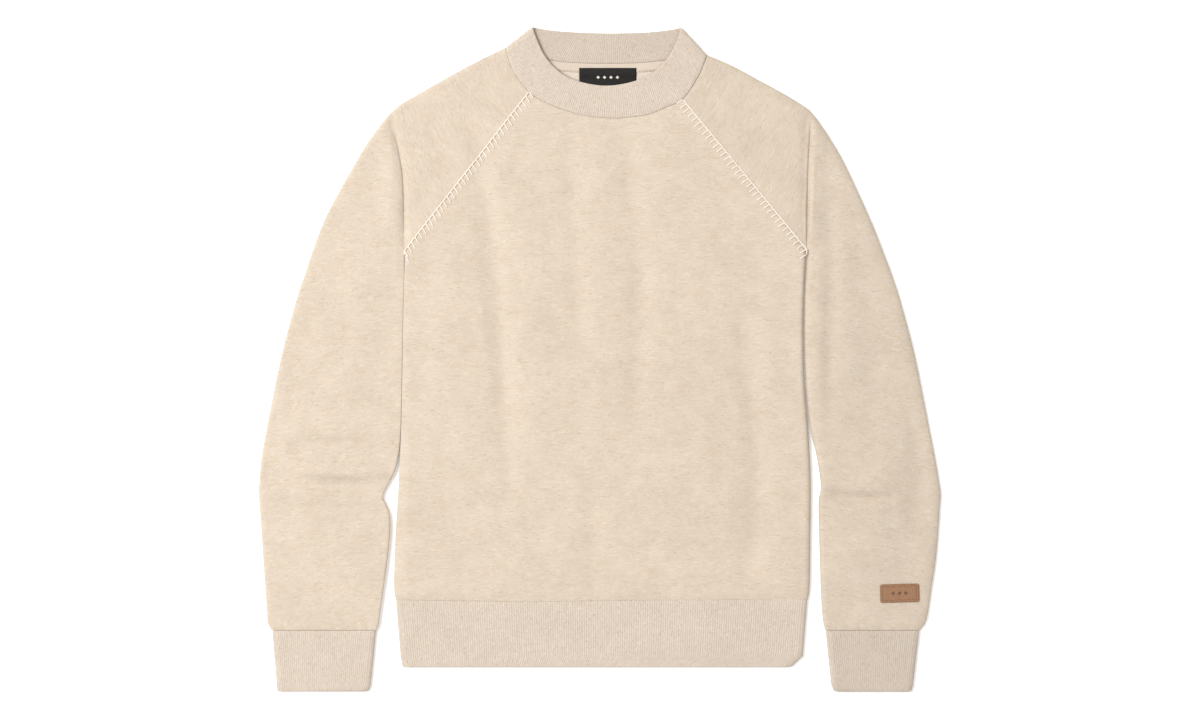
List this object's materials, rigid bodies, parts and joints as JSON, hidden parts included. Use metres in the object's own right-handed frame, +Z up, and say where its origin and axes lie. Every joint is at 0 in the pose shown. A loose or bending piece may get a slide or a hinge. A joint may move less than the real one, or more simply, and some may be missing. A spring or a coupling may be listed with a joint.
{
  "type": "crewneck sweatshirt",
  "caption": "Raglan-sleeve crewneck sweatshirt in fleece with ribbed neckband, cuffs and hem, laid flat and face up; worn over the upper body for warmth.",
  "frame": {"origin": "centre of the bounding box in plan, on the surface the garment lies on", "axes": "+X to the wearer's left, +Y from the hem to the neck, +Z up out of the front of the garment"},
  "size_m": [0.764, 0.745, 0.0099],
  "materials": {
    "fleece": "matte",
    "rib": "matte",
    "jersey_tape": "matte",
    "woven_label": "satin",
    "leather": "satin"
  },
  "bodies": {
    "root": {"front_panel": "fleece", "back_panel": "fleece", "sleeve_wearer_right": "fleece", "sleeve_wearer_left": "fleece", "neckband": "rib", "hem_band": "rib", "cuff_wearer_right": "rib", "cuff_wearer_left": "rib", "neck_tape": "jersey_tape", "neck_label": "woven_label", "sleeve_patch": "leather"}
  },
  "joints": []
}
